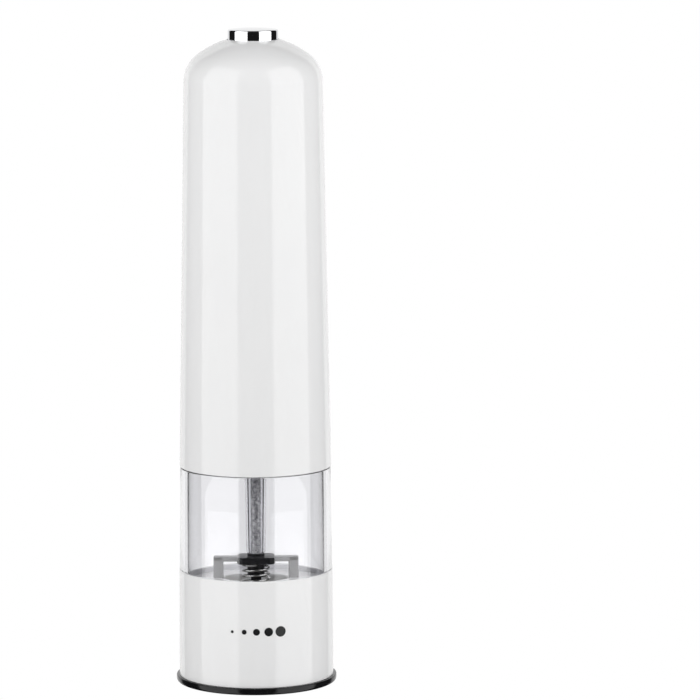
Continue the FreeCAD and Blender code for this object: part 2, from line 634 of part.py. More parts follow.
def make_power_frame():
    """Tube that carries the battery holder over the motor, with its screws and motor strips."""
    body = new_body("power_frame")
    turned(body, "tube", ring_path("body_radius - 5.6", "body_radius - 4.1", f"{NECK} + 3", DECK))
    window = block(body, "window", 12, 12, f"{MOTOR} + 3", f"{DECK} - 8", x="body_radius - 4",
                   cut=True)
    around(body, window, 4)
    boss = rod(body, "boss", 2.3, f"{MOTOR} + 3", DECK, x=HOLDER_SCREWS)
    spread(boss, HOLDER_SCREWS)
    around(body, boss, 4)
    pilot = rod(body, "pilot", "screw_radius", f"{DECK} - 9", f"{DECK} + 1", x=HOLDER_SCREWS, cut=True)
    spread(pilot, HOLDER_SCREWS)
    around(body, pilot, 4)
    strips = new_body("motor_strips")
    for side in (-1, 1):
        block(strips, "strip_front" if side < 0 else "strip_back", 3, 0.5,
              f"{MOTOR} + motor_length + 1.6", f"{CELL_LOW} - 0.4", x=CELL_OFFSET, y=side * STRIP_REACH)


def spread(feature, reach):
    """Move a feature out to the same reach along the 45 degree line."""
    bind(feature, "Placement.Base.x", f"({reach}) * cos(45)")
    bind(feature, "Placement.Base.y", f"({reach}) * sin(45)")


def contact_plates(body, low, high, cut=False, upper=False):
    """One long plate joining two cells and two short ones, for the lower or upper contacts."""
    long = f"2 * {CELL_OFFSET} + {SHORT}"
    if upper:
        block(body, "long_plate", long, PLATE_WIDTH, low, high, y=CELL_OFFSET, cut=cut)
        for side in (-1, 1):
            block(body, "short_left" if side < 0 else "short_right", SHORT, PLATE_WIDTH, low, high,
                  x=f"{side} * {CELL_OFFSET}", y=f"0 - {CELL_OFFSET}", cut=cut)
    else:
        block(body, "long_plate", PLATE_WIDTH, long, low, high, x=f"0 - {CELL_OFFSET}", cut=cut)
        for side in (-1, 1):
            block(body, "short_front" if side < 0 else "short_back", PLATE_WIDTH, SHORT, low, high,
                  x=CELL_OFFSET, y=f"{side} * {CELL_OFFSET}", cut=cut)


def make_battery_holder():
    """Open holder: two discs joined by a cross wall, with the contacts let into the discs."""
    body = new_body("battery_holder")
    rod(body, "lower_disc", "body_radius - 4.1", DECK, CELL_LOW)
    contact_plates(body, f"{CELL_LOW} - 0.4", f"{CELL_LOW} + 0.2", cut=True)
    for side in (-1, 1):
        block(body, "gap_front" if side < 0 else "gap_back", 3.4, 0.9, f"{DECK} - 1", CELL_LOW,
              x=CELL_OFFSET, y=side * STRIP_REACH, cut=True)
    for name, size, low in (("screw_hole", "screw_radius", f"{DECK} - 1"),
                            ("screw_sink", "screw_head", f"{CELL_LOW} - 1.6")):
        hole = rod(body, name, size, low, f"{CELL_LOW} + 1", x=HOLDER_SCREWS, cut=True)
        spread(hole, HOLDER_SCREWS)
        around(body, hole, 4)
    rod(body, "upper_disc", "body_radius - 5.4", CELL_HIGH, ROOF)
    block(body, "wall_across", "2 * body_radius - 12", 1.2, CELL_LOW, f"{CELL_HIGH} + 0.5")
    block(body, "wall_along", 1.2, "2 * body_radius - 12", CELL_LOW, f"{CELL_HIGH} + 0.5")
    notches = new_body("contact_upper")
    contact_plates(notches, CELL_HIGH, f"{CELL_HIGH} + 0.4", upper=True)
    lower = new_body("contact_lower")
    contact_plates(lower, f"{CELL_LOW} - 0.4", CELL_LOW)
    contact_plates(body, f"{CELL_HIGH} - 0.6", f"{CELL_HIGH} + 0.4", cut=True, upper=True)
    fixings = screw("holder_screws", HOLDER_SCREWS, CELL_LOW, f"({DECK} - 8)", 4)
    fixings.Placement = FreeCAD.Placement(FreeCAD.Vector(), FreeCAD.Rotation(45, 0, 0))


def make_cells():
    """Four standard cells, two each way up, and the leaf contacts at their flat ends."""
    leaves = new_body("battery_springs")
    for index, (side_x, side_y) in enumerate(((1, 1), (-1, 1), (-1, -1), (1, -1))):
        body = new_body(f"battery_{index + 1}")
        turned(body, "cell", [
            (0, 0), ("cell_radius - 0.4", 0), ("cell_radius", 0.4),
            ("cell_radius", "cell_length - cell_nub - 0.5"),
            ("cell_radius - 0.5", "cell_length - cell_nub"), (2.75, "cell_length - cell_nub"),
            (2.75, "cell_length"), (0, "cell_length")])
        x, y = f"{side_x} * {CELL_OFFSET}", f"{side_y} * {CELL_OFFSET}"
        name = f"leaf_{index + 1}"
        if index % 2 == 0:
            place(body, x, y, f"{CELL_LOW} + cell_spring")
            leaf(leaves, name, x, y, CELL_LOW, f"({CELL_LOW} + cell_spring)", 1)
        else:
            place(body, x, y, f"{CELL_LOW} + cell_length",
                  FreeCAD.Rotation(FreeCAD.Vector(1, 0, 0), 180))
            leaf(leaves, name, x, y, CELL_HIGH, f"({CELL_HIGH} - cell_spring)", -1)


def make_switch():
    """Push switch on the holder and its plunger."""
    top = f"({ROOF} + 5.2)"
    body = new_body("switch_body")
    block(body, "case", 8, 6.4, ROOF, top)
    rod(body, "bore", "1.5 + run_fit", f"{ROOF} + 0.6", f"{top} + 1", cut=True)
    plunger = new_body("switch_plunger")
    rod(plunger, "plunger", 1.5, f"{top} - 2.4", f"{top} + 2.3")


def make_button():
    """Guide inside the dome, the chromed button and its return spring."""
    guide = new_body("button_guide")
    disc = f"({ROOF} + 3)"
    flange = f"({ROOF} + 11)"
    turned(guide, "guide", [
        (7.2, disc), (12.4, disc), (12.4, ROOF), (13.8, ROOF), (13.8, disc), (14.7, disc),
        (14.7, f"{disc} + 1.5"), ("button_radius + 2.6", f"{disc} + 1.5"),
        ("button_radius + 2.6", f"{flange} + 0.2"), ("button_radius + 1.1", f"{flange} + 0.2"),
        ("button_radius + 1.1", f"{disc} + 1.5"), (7.2, f"{disc} + 1.5")])
    cap = new_body("button_cap")
    top = f"({ROOF} + 18.35)"
    turned(cap, "cap", [
        (0, f"{ROOF} + 7.55"), (2, f"{ROOF} + 7.55"), (2, f"{top} - 1.5"),
        ("button_radius - 1", f"{top} - 1.5"), ("button_radius - 1", flange),
        ("button_radius + 1.02", flange), ("button_radius + 1.02", f"{flange} + 1.2"),
        ("button_radius", f"{flange} + 1.2"), ("button_radius", f"{top} - 1"),
        ("button_radius - 0.5", f"{top} - 0.5", 0.5, 1), (0, top, "(button_radius - 0.5)^2 + 0.25", 1)])
    coil("button_spring", "button_radius", 0.35, 1.45, f"({disc} + 1.5)", flange)


def make_shell():
    """Tall outer shell with its dome, guide ring and bayonet ledges."""
    body = new_body("outer_shell")
    inner_crown = "(crown_radius - shell_wall)"
    run = f"({DOME_R} - shoulder_round)"
    span = "(crown_radius - shoulder_round)"
    rise = f"({SHOULDER} - {CROWN_Z})"
    hole = "(button_radius + 0.3)"
    turned(body, "shell", [
        ("body_radius - 0.51 - shell_wall", f"{RIM} + 0.2"), ("body_radius - 0.91", f"{RIM} + 0.2"),
        ("body_radius - 0.51", f"{RIM} + 0.6", 0.4, 1), (DOME_R, SHOULDER),
        (f"{run} * crown_radius / {span}", f"{CROWN_Z} + {rise} * crown_radius / {span}",
         "shoulder_round", 1),
        (hole, f"{CROWN_Z} + sqrt(crown_radius^2 - {hole}^2)", "crown_radius", 1),
        (hole, f"{CROWN_Z} + sqrt({inner_crown}^2 - {hole}^2)"),
        (f"{run} * {inner_crown} / {span}", f"{CROWN_Z} + {rise} * {inner_crown} / {span}",
         inner_crown, -1),
        (f"{DOME_R} - shell_wall", SHOULDER, "shoulder_round - shell_wall", -1)])
    turned(body, "guide_ring", [
        (14.2, f"{ROOF} + 1.7"), (16.4, f"{ROOF} + 1.7"),
        (16.4, f"{CROWN_Z} + sqrt({inner_crown}^2 - 16.4^2) + 0.5"),
        (15.05, f"{CROWN_Z} + sqrt({inner_crown}^2 - 15.05^2) + 0.5"),
        (15.05, f"{ROOF} + 5.2"), (14.2, f"{ROOF} + 5.2"), (14.2, f"{ROOF} + 4.85"),
        (15.05, f"{ROOF} + 4.85"), (15.05, f"{ROOF} + 2.6"), (14.2, f"{ROOF} + 2.6")])
    ledge = turned(body, "ledge", ring_path("body_radius - 3.55", "body_radius - 2",
                                            f"{RIM} + 1.5", f"{RIM} + 3.7"), angle=26)
    sketch = ledge.Profile[0]
    sketch.AttachmentOffset = FreeCAD.Placement(
        FreeCAD.Vector(), FreeCAD.Rotation(FreeCAD.Vector(0, 1, 0), 60))
    around(body, ledge, 3)


def check_and_export():
    """Stop if any object is broken, then write one STEP file per piece."""
    doc.recompute()
    broken = [f"{obj.Label} in {obj.InList[0].Label if obj.InList else 'document'}"
              for obj in doc.Objects if "Invalid" in obj.State or "Error" in obj.State]
    if broken:
        raise RuntimeError("broken objects: " + ", ".join(broken))
    for piece in pieces:
        if piece.Shape.isNull() or not piece.Shape.isValid() or not piece.Shape.Solids:
            raise RuntimeError(f"{piece.Label}: bad shape")
        piece.Shape.exportStep(f"parts/{piece.Label}.step")


os.makedirs("parts", exist_ok=True)
fill_sheet()
for make in (make_base, make_grinder_housing, make_burrs, make_spindle, make_chamber,
             make_power_base, make_carriers, make_planets, make_gearbox, make_motor,
             make_power_frame, make_battery_holder, make_cells, make_switch, make_button,
             make_shell):
    make()
check_and_export()
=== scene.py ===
import json
import logging
import math
from dataclasses import dataclass, field
from enum import Enum
from typing import Iterable, Optional

import bmesh
import bpy
from mathutils import Matrix, Vector


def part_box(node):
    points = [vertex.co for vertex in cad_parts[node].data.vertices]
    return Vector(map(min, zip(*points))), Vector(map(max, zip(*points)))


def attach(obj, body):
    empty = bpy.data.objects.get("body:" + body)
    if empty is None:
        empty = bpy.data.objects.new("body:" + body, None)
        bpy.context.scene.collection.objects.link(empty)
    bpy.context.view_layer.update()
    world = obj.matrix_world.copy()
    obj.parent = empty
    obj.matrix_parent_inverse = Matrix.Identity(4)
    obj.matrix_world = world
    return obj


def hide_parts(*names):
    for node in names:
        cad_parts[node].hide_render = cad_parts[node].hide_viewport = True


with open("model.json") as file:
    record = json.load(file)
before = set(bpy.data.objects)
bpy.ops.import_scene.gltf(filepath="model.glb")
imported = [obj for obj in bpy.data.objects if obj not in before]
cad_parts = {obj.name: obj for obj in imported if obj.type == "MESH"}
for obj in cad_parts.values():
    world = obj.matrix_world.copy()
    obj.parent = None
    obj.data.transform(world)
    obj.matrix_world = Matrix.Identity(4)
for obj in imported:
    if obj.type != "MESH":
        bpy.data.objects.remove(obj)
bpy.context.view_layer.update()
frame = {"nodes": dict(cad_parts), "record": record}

LOG = logging.getLogger("pepper_mill")
MM = 0.001
TURN_STEPS = 192


class Pattern(Enum):
    """Surface structure of a finish."""

    MOULDED = "moulded"
    BRUSHED = "brushed"
    TURNED = "turned"
    MOTTLED = "mottled"


class Round(Enum):
    """How a lathe outline is closed."""

    LOOP = "loop"
    AXIS = "axis"


# ---------------------------------------------------------------- shader groups


class ShaderGroups:
    """Node groups that the finishes share, each built once."""

    def __init__(self) -> None:
        """Build every group."""
        self.tone = self._tone()
        self.grain = self._grain()
        self.turning = self._turning()
        self.plating = self._plating()
        self.soil = self._soil()

    def _new(self, name: str, inputs: Iterable[tuple], outputs: Iterable[tuple]) -> tuple:
        """Start a shader group.

        Args:
            name: the group's name.
            inputs: (name, kind, default) for each input.
            outputs: (name, kind) for each output.

        Returns:
            The tree, its input node and its output node.
        """
        tree = bpy.data.node_groups.new(name, "ShaderNodeTree")
        for label, kind, default in inputs:
            socket = tree.interface.new_socket(label, in_out="INPUT", socket_type="NodeSocket" + kind)
            socket.default_value = default
        for label, kind in outputs:
            tree.interface.new_socket(label, in_out="OUTPUT", socket_type="NodeSocket" + kind)
        return tree, tree.nodes.new("NodeGroupInput"), tree.nodes.new("NodeGroupOutput")

    def _math(self, tree: bpy.types.NodeTree, kind: str, first, second) -> bpy.types.NodeSocket:
        """Add a Math node; first and second are sockets or numbers. Returns its output."""
        node = tree.nodes.new("ShaderNodeMath")
        node.operation = kind
        for slot, value in zip(node.inputs, (first, second)):
            if isinstance(value, (int, float)):
                slot.default_value = value
            else:
                tree.links.new(value, slot)
        return node.outputs[0]

    def _noise(self, tree: bpy.types.NodeTree, vector, scale, detail: float,
               roughness: float) -> bpy.types.NodeSocket:
        """Add a noise texture read at a vector. Returns its factor output."""
        node = tree.nodes.new("ShaderNodeTexNoise")
        node.inputs["Detail"].default_value = detail
        node.inputs["Roughness"].default_value = roughness
        tree.links.new(vector, node.inputs["Vector"])
        if isinstance(scale, (int, float)):
            node.inputs["Scale"].default_value = scale
        else:
            tree.links.new(scale, node.inputs["Scale"])
        return node.outputs["Fac"]

    def _tone(self) -> bpy.types.NodeTree:
        """Slow drift of a moulding's colour and gloss."""
        tree, given, out = self._new(
            "tone_drift",
            (("Color", "Color", (0.8, 0.8, 0.8, 1)), ("Second Color", "Color", (0.7, 0.7, 0.7, 1)),
             ("Roughness", "Float", 0.3), ("Gloss Drift", "Float", 0.05), ("Scale", "Float", 60.0)),
            (("Color", "Color"), ("Roughness", "Float")))
        place = tree.nodes.new("ShaderNodeTexCoord").outputs["Object"]
        cloud = self._noise(tree, place, given.outputs["Scale"], 3.0, 0.55)
        ramp = tree.nodes.new("ShaderNodeMapRange")
        for label, value in (("From Min", 0.3), ("From Max", 0.7)):
            ramp.inputs[label].default_value = value
        tree.links.new(cloud, ramp.inputs["Value"])
        mix = tree.nodes.new("ShaderNodeMix")
        mix.data_type = "RGBA"
        tree.links.new(ramp.outputs[0], mix.inputs["Factor"])
        tree.links.new(given.outputs["Color"], mix.inputs["A"])
        tree.links.new(given.outputs["Second Color"], mix.inputs["B"])
        fine = self._noise(tree, place, self._math(tree, "MULTIPLY", given.outputs["Scale"], 7.0), 2.0, 0.5)
        swing = self._math(tree, "MULTIPLY", self._math(tree, "SUBTRACT", fine, 0.5),
                           given.outputs["Gloss Drift"])
        tree.links.new(mix.outputs["Result"], out.inputs["Color"])
        tree.links.new(self._math(tree, "ADD", given.outputs["Roughness"], swing),
                       out.inputs["Roughness"])
        return tree

    def _grain(self) -> bpy.types.NodeTree:
        """Fine moulded or ground grain as a height."""
        tree, given, out = self._new(
            "fine_grain", (("Scale", "Float", 900.0), ("Pits", "Float", 0.3)), (("Height", "Float"),))
        place = tree.nodes.new("ShaderNodeTexCoord").outputs["Object"]
        soft = self._noise(tree, place, given.outputs["Scale"], 4.0, 0.6)
        cells = tree.nodes.new("ShaderNodeTexVoronoi")
        tree.links.new(place, cells.inputs["Vector"])
        tree.links.new(given.outputs["Scale"], cells.inputs["Scale"])
        pits = self._math(tree, "MULTIPLY", cells.outputs["Distance"], given.outputs["Pits"])
        tree.links.new(self._math(tree, "ADD", soft, pits), out.inputs["Height"])
        return tree

    def _turning(self) -> bpy.types.NodeTree:
        """Rings left by turning about the Z axis, or lines along it, as a height and a mask."""
        tree, given, out = self._new(
            "turning_lines", (("Scale", "Float", 900.0), ("Along", "Float", 0.0)),
            (("Height", "Float"), ("Mask", "Float")))
        place = tree.nodes.new("ShaderNodeTexCoord").outputs["Object"]
        split = tree.nodes.new("ShaderNodeSeparateXYZ")
        tree.links.new(place, split.inputs[0])
        x, y, z = split.outputs
        radius = self._math(tree, "SQRT", self._math(
            tree, "ADD", self._math(tree, "MULTIPLY", x, x), self._math(tree, "MULTIPLY", y, y)), 0.0)
        level = self._math(tree, "MULTIPLY", z, self._math(tree, "SUBTRACT", 1.0, given.outputs["Along"]))
        join = tree.nodes.new("ShaderNodeCombineXYZ")
        for value, slot in ((radius, 0), (level, 1)):
            tree.links.new(value, join.inputs[slot])
        across = self._math(tree, "MULTIPLY", x, self._math(tree, "MULTIPLY", given.outputs["Along"], 6.0))
        tree.links.new(across, join.inputs[2])
        lines = self._noise(tree, join.outputs[0], given.outputs["Scale"], 6.0, 0.7)
        tree.links.new(lines, out.inputs["Height"])
        tree.links.new(self._math(tree, "MULTIPLY", lines, lines), out.inputs["Mask"])
        return tree

    def _plating(self) -> bpy.types.NodeTree:
        """Light and dark mottle of dull plated steel."""
        tree, given, out = self._new(
            "plated_mottle",
            (("Light", "Color", (0.8, 0.8, 0.8, 1)), ("Dark", "Color", (0.3, 0.3, 0.3, 1)),
             ("Scale", "Float", 500.0)),
            (("Color", "Color"), ("Mask", "Float")))
        place = tree.nodes.new("ShaderNodeTexCoord").outputs["Object"]
        patch = self._noise(tree, place, given.outputs["Scale"], 5.0, 0.72)
        ramp = tree.nodes.new("ShaderNodeMapRange")
        for label, value in (("From Min", 0.38), ("From Max", 0.62)):
            ramp.inputs[label].default_value = value
        tree.links.new(patch, ramp.inputs["Value"])
        mix = tree.nodes.new("ShaderNodeMix")
        mix.data_type = "RGBA"
        tree.links.new(ramp.outputs[0], mix.inputs["Factor"])
        tree.links.new(given.outputs["Dark"], mix.inputs["A"])
        tree.links.new(given.outputs["Light"], mix.inputs["B"])
        tree.links.new(mix.outputs["Result"], out.inputs["Color"])
        tree.links.new(ramp.outputs[0], out.inputs["Mask"])
        return tree

    def _soil(self) -> bpy.types.NodeTree:
        """Fine settled dust: a sparse mask of specks."""
        tree, given, out = self._new(
            "settled_dust", (("Amount", "Float", 0.1), ("Scale", "Float", 1500.0)), (("Mask", "Float"),))
        place = tree.nodes.new("ShaderNodeTexCoord").outputs["Object"]
        specks = self._noise(tree, place, given.outputs["Scale"], 2.0, 0.6)
        drift = self._noise(tree, place, 140.0, 2.0, 0.5)
        ramp = tree.nodes.new("ShaderNodeMapRange")
        ramp.inputs["From Min"].default_value = 0.56
        ramp.inputs["From Max"].default_value = 0.72
        tree.links.new(specks, ramp.inputs["Value"])
        spread = self._math(tree, "MULTIPLY", ramp.outputs[0], drift)
        tree.links.new(self._math(tree, "MULTIPLY", spread, given.outputs["Amount"]), out.inputs["Mask"])
        return tree


GROUPS = ShaderGroups()


# ---------------------------------------------------------------- finishes


@dataclass(frozen=True)
class Finish:
    """One material of the mill.

    Colours are linear RGB; scales are per metre.
    """

    slot: str
    color: tuple
    second: tuple
    roughness: float = 0.3
    drift: float = 0.06
    scale: float = 60.0
    metallic: float = 0.0
    ior: float = 1.5
    coat: float = 0.0
    coat_roughness: float = 0.03
    transmission: float = 0.0
    pattern: Pattern = Pattern.MOULDED
    grain_scale: float = 900.0
    grain_depth: float = 0.00001
    dust: float = 0.0
    along: float = 0.0
    specular: float = 0.5

    def build(self) -> bpy.types.Material:
        """Make the node material. Returns it."""
        material = bpy.data.materials.new(self.slot)
        material.use_nodes = True
        tree = material.node_tree
        shader = tree.nodes["Principled BSDF"]
        for label, value in (("Metallic", self.metallic), ("IOR", self.ior),
                             ("Coat Weight", self.coat), ("Coat Roughness", self.coat_roughness),
                             ("Transmission Weight", self.transmission),
                             ("Specular IOR Level", self.specular)):
            shader.inputs[label].default_value = value
        tone = self._group(tree, GROUPS.tone, Roughness=self.roughness, Scale=self.scale,
                           **{"Color": self.color, "Second Color": self.second,
                              "Gloss Drift": self.drift})
        colour = tone.outputs["Color"]
        if self.pattern is Pattern.MOTTLED:
            mottle = self._group(tree, GROUPS.plating, Light=self.color, Dark=self.second,
                                 Scale=self.scale)
            colour = mottle.outputs["Color"]
        if self.dust:
            colour = self._dusted(tree, colour)
        tree.links.new(colour, shader.inputs["Base Color"])
        tree.links.new(tone.outputs["Roughness"], shader.inputs["Roughness"])
        if self.grain_depth:
            if self.pattern in (Pattern.TURNED, Pattern.BRUSHED):
                lines = self._group(tree, GROUPS.turning, Scale=self.grain_scale, Along=self.along)
            else:
                lines = self._group(tree, GROUPS.grain, Scale=self.grain_scale, Pits=0.3)
            bump = tree.nodes.new("ShaderNodeBump")
            bump.inputs["Strength"].default_value = 0.6
            bump.inputs["Distance"].default_value = self.grain_depth
            tree.links.new(lines.outputs["Height"], bump.inputs["Height"])
            tree.links.new(bump.outputs["Normal"], shader.inputs["Normal"])
        if self.transmission:
            self._let_light_through(tree, shader)
        return material

    def _let_light_through(self, tree: bpy.types.NodeTree, shader: bpy.types.Node) -> None:
        """Let shadow and diffuse rays pass straight through a clear material."""
        path = tree.nodes.new("ShaderNodeLightPath")
        straight = tree.nodes.new("ShaderNodeMath")
        straight.operation = "MAXIMUM"
        tree.links.new(path.outputs["Is Shadow Ray"], straight.inputs[0])
        tree.links.new(path.outputs["Is Diffuse Ray"], straight.inputs[1])
        clear = tree.nodes.new("ShaderNodeBsdfTransparent")
        clear.inputs["Color"].default_value = (0.95, 0.95, 0.96, 1)
        mix = tree.nodes.new("ShaderNodeMixShader")
        tree.links.new(straight.outputs[0], mix.inputs[0])
        tree.links.new(shader.outputs[0], mix.inputs[1])
        tree.links.new(clear.outputs[0], mix.inputs[2])
        tree.links.new(mix.outputs[0], tree.nodes["Material Output"].inputs["Surface"])

    def _group(self, tree: bpy.types.NodeTree, group: bpy.types.NodeTree, **values) -> bpy.types.Node:
        """Place a shader group with its own values. Returns the node."""
        node = tree.nodes.new("ShaderNodeGroup")
        node.node_tree = group
        for label, value in values.items():
            node.inputs[label].default_value = (*value, 1) if isinstance(value, tuple) else value
        return node

    def _dusted(self, tree: bpy.types.NodeTree, colour: bpy.types.NodeSocket) -> bpy.types.NodeSocket:
        """Mix ground-pepper dust over a colour. Returns the mixed colour."""
        mask = self._group(tree, GROUPS.soil, Amount=self.dust)
        mix = tree.nodes.new("ShaderNodeMix")
        mix.data_type = "RGBA"
        tree.links.new(mask.outputs["Mask"], mix.inputs["Factor"])
        tree.links.new(colour, mix.inputs["A"])
        mix.inputs["B"].default_value = (0.12, 0.09, 0.06, 1)
        return mix.outputs["Result"]


FINISHES = (
    Finish("gloss_black", (0.004, 0.004, 0.0045), (0.007, 0.007, 0.008), roughness=0.14, drift=0.05,
           grain_depth=0.0, specular=0.22),
    Finish("gloss_white", (0.80, 0.80, 0.80), (0.785, 0.785, 0.788), roughness=0.1, drift=0.03,
           scale=25.0, grain_scale=450.0, grain_depth=0.000002, specular=0.36),
    Finish("clear_acrylic", (0.91, 0.91, 0.925), (0.90, 0.90, 0.915), roughness=0.0, drift=0.0,
           ior=1.49, transmission=1.0, grain_depth=0.0),
    Finish("white_plastic", (0.84, 0.84, 0.84), (0.80, 0.80, 0.80), roughness=0.2, dust=0.08,
           grain_scale=700.0, grain_depth=0.000012),
    Finish("ceramic", (0.86, 0.85, 0.82), (0.74, 0.73, 0.69), roughness=0.38, scale=220.0,
           grain_scale=1600.0, grain_depth=0.00004, dust=0.35),
    # bracket_grey is painted reflection: the bracket is black, and this grey with its metallic sheen stands
    # in for the milky veil that the clear chamber wall lays over it.
    Finish("bracket_grey", (0.27, 0.27, 0.275), (0.2, 0.2, 0.205), roughness=0.34, metallic=0.3,
           scale=180.0, pattern=Pattern.BRUSHED, grain_scale=900.0, grain_depth=0.00001, along=1.0),
    Finish("black_plastic", (0.006, 0.006, 0.007), (0.012, 0.012, 0.013), roughness=0.3,
           grain_scale=1300.0, grain_depth=0.00002, specular=0.25),
    Finish("frame_grey", (0.16, 0.165, 0.17), (0.135, 0.14, 0.145), roughness=0.42,
           grain_scale=1200.0, grain_depth=0.00002),
    Finish("gear_nylon", (0.72, 0.69, 0.6), (0.66, 0.62, 0.53), roughness=0.4, grain_depth=0.00001),
    Finish("gear_steel", (0.46, 0.455, 0.44), (0.27, 0.265, 0.25), roughness=0.42, metallic=1.0,
           scale=600.0, grain_scale=1800.0, grain_depth=0.00002, pattern=Pattern.MOTTLED),
    Finish("plated_steel", (0.86, 0.86, 0.85), (0.22, 0.22, 0.23), roughness=0.42, metallic=0.55,
           scale=900.0, grain_scale=1500.0, grain_depth=0.00003, pattern=Pattern.MOTTLED),
    Finish("spring_steel", (0.58, 0.58, 0.57), (0.42, 0.42, 0.41), roughness=0.22, metallic=1.0,
           grain_depth=0.0),
    Finish("screw_steel", (0.55, 0.56, 0.57), (0.42, 0.42, 0.41), roughness=0.3, metallic=1.0,
           scale=400.0, grain_scale=1500.0, grain_depth=0.00001, pattern=Pattern.TURNED),
    Finish("motor_steel", (0.5, 0.51, 0.52), (0.4, 0.4, 0.41), roughness=0.3, metallic=1.0,
           scale=90.0, grain_scale=1400.0, grain_depth=0.00001, pattern=Pattern.TURNED),
    Finish("bronze", (0.5, 0.3, 0.14), (0.36, 0.21, 0.09), roughness=0.36, metallic=1.0, scale=500.0,
           grain_scale=1800.0, grain_depth=0.00002, pattern=Pattern.MOTTLED),
    Finish("contact_brass", (0.62, 0.55, 0.36), (0.5, 0.43, 0.26), roughness=0.28, metallic=1.0,
           scale=120.0, grain_scale=1200.0, grain_depth=0.00001, pattern=Pattern.BRUSHED),
    Finish("milky_silicone", (0.62, 0.62, 0.63), (0.56, 0.56, 0.57), roughness=0.4,
           grain_scale=1200.0, grain_depth=0.00001),
    Finish("seal_rubber", (0.012, 0.012, 0.013), (0.02, 0.02, 0.02), roughness=0.55,
           grain_scale=1500.0, grain_depth=0.00003),
    Finish("chrome", (0.74, 0.745, 0.76), (0.70, 0.705, 0.72), roughness=0.05, drift=0.03, metallic=1.0,
           scale=40.0, grain_depth=0.0),
    Finish("cell_wrap", (0.02, 0.035, 0.06), (0.028, 0.045, 0.075), roughness=0.22, coat=0.5,
           grain_scale=600.0, grain_depth=0.00001),
    Finish("copper", (0.46, 0.19, 0.08), (0.32, 0.12, 0.05), roughness=0.36, metallic=1.0,
           scale=240.0, grain_scale=2200.0, grain_depth=0.00005, pattern=Pattern.TURNED),
)
MATERIALS = {finish.slot: finish.build() for finish in FINISHES}


# ---------------------------------------------------------------- making pieces


@dataclass
class Corner:
    """One corner of a lathe outline: radius, height and rounding, in millimetres."""

    radius: float
    level: float
    rounding: float = 0.0


def arc_corners(centre: tuple, radius: float, start: float, stop: float, steps: int) -> list:
    """Corners along a round stretch.

    Args:
        centre: (radius, level) of the arc's centre.
        radius: the arc's radius.
        start: first angle in degrees from the outward direction.
        stop: last angle in degrees.
        steps: number of spans.

    Returns:
        The corners from start to stop.
    """
    angles = (math.radians(start + (stop - start) * i / steps) for i in range(steps + 1))
    return [Corner(centre[0] + radius * math.cos(a), centre[1] + radius * math.sin(a)) for a in angles]


def lathe_mesh(corners: list, closing: Round, steps: int = TURN_STEPS) -> bmesh.types.BMesh:
    """Turn an outline about the Z axis.

    Args:
        corners: outline corners in order.
        closing: LOOP for a ring, AXIS for a piece that meets the axis.
        steps: number of spans round the axis.

    Returns:
        The bmesh, in metres.
    """
    mesh = bmesh.new()
    verts = [mesh.verts.new((c.radius * MM, 0.0, c.level * MM)) for c in corners]
    last = len(verts) if closing is Round.LOOP else len(verts) - 1
    for i in range(last):
        mesh.edges.new((verts[i], verts[(i + 1) % len(verts)]))
    for size in sorted({c.rounding for c in corners if c.rounding}):
        chosen = [v for v, c in zip(verts, corners) if c.rounding == size]
        bmesh.ops.bevel(mesh, geom=chosen, offset=size * MM, offset_type="OFFSET", affect="VERTICES",
                        segments=5, profile=0.5, material=-1)
    bmesh.ops.spin(mesh, geom=mesh.verts[:] + mesh.edges[:], cent=(0, 0, 0), axis=(0, 0, 1),
                   angle=math.tau, steps=steps, use_merge=True)
    bmesh.ops.remove_doubles(mesh, verts=mesh.verts, dist=1e-6)
    bmesh.ops.recalc_face_normals(mesh, faces=mesh.faces)
    return mesh


def finish_piece(mesh: bmesh.types.BMesh, name: str, body: str, slot: str,
                 stands_for: Iterable[str] = (), sharp: float = 28.0) -> bpy.types.Object:
    """Turn a bmesh into a dressed piece that rides on a body.

    Args:
        mesh: the finished bmesh; it is freed.
        name: the piece's name.
        body: the CAD body it rides on.
        slot: the material slot.
        stands_for: CAD nodes that the piece replaces.
        sharp: edges steeper than this many degrees stay sharp.

    Returns:
        The object.
    """
    data = bpy.data.meshes.new(name)
    mesh.to_mesh(data)
    mesh.free()
    data.polygons.foreach_set("use_smooth", [True] * len(data.polygons))
    data.set_sharp_from_angle(angle=math.radians(sharp))
    piece = bpy.data.objects.new(name, data)
    bpy.context.scene.collection.objects.link(piece)
    data.materials.append(MATERIALS[slot])
    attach(piece, body)
    if stands_for:
        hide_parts(*stands_for)
    LOG.info("%s on %s in %s, %d faces", name, body, slot, len(data.polygons))
    return piece


def box_mesh(low: Vector, high: Vector, rounding: float) -> bmesh.types.BMesh:
    """Box between two corners in metres, with every edge rounded. Returns the bmesh."""
    mesh = bmesh.new()
    bmesh.ops.create_cube(mesh, size=1.0)
    size = high - low
    bmesh.ops.scale(mesh, vec=size, verts=mesh.verts)
    bmesh.ops.translate(mesh, vec=(low + high) / 2, verts=mesh.verts)
    bmesh.ops.bevel(mesh, geom=mesh.edges[:], offset=rounding * MM, offset_type="OFFSET",
                    affect="EDGES", segments=3, profile=0.5, material=-1)
    return mesh


def mm(value: float) -> float:
    """Metres to millimetres."""
    return value / MM


# ---------------------------------------------------------------- sub-assemblies


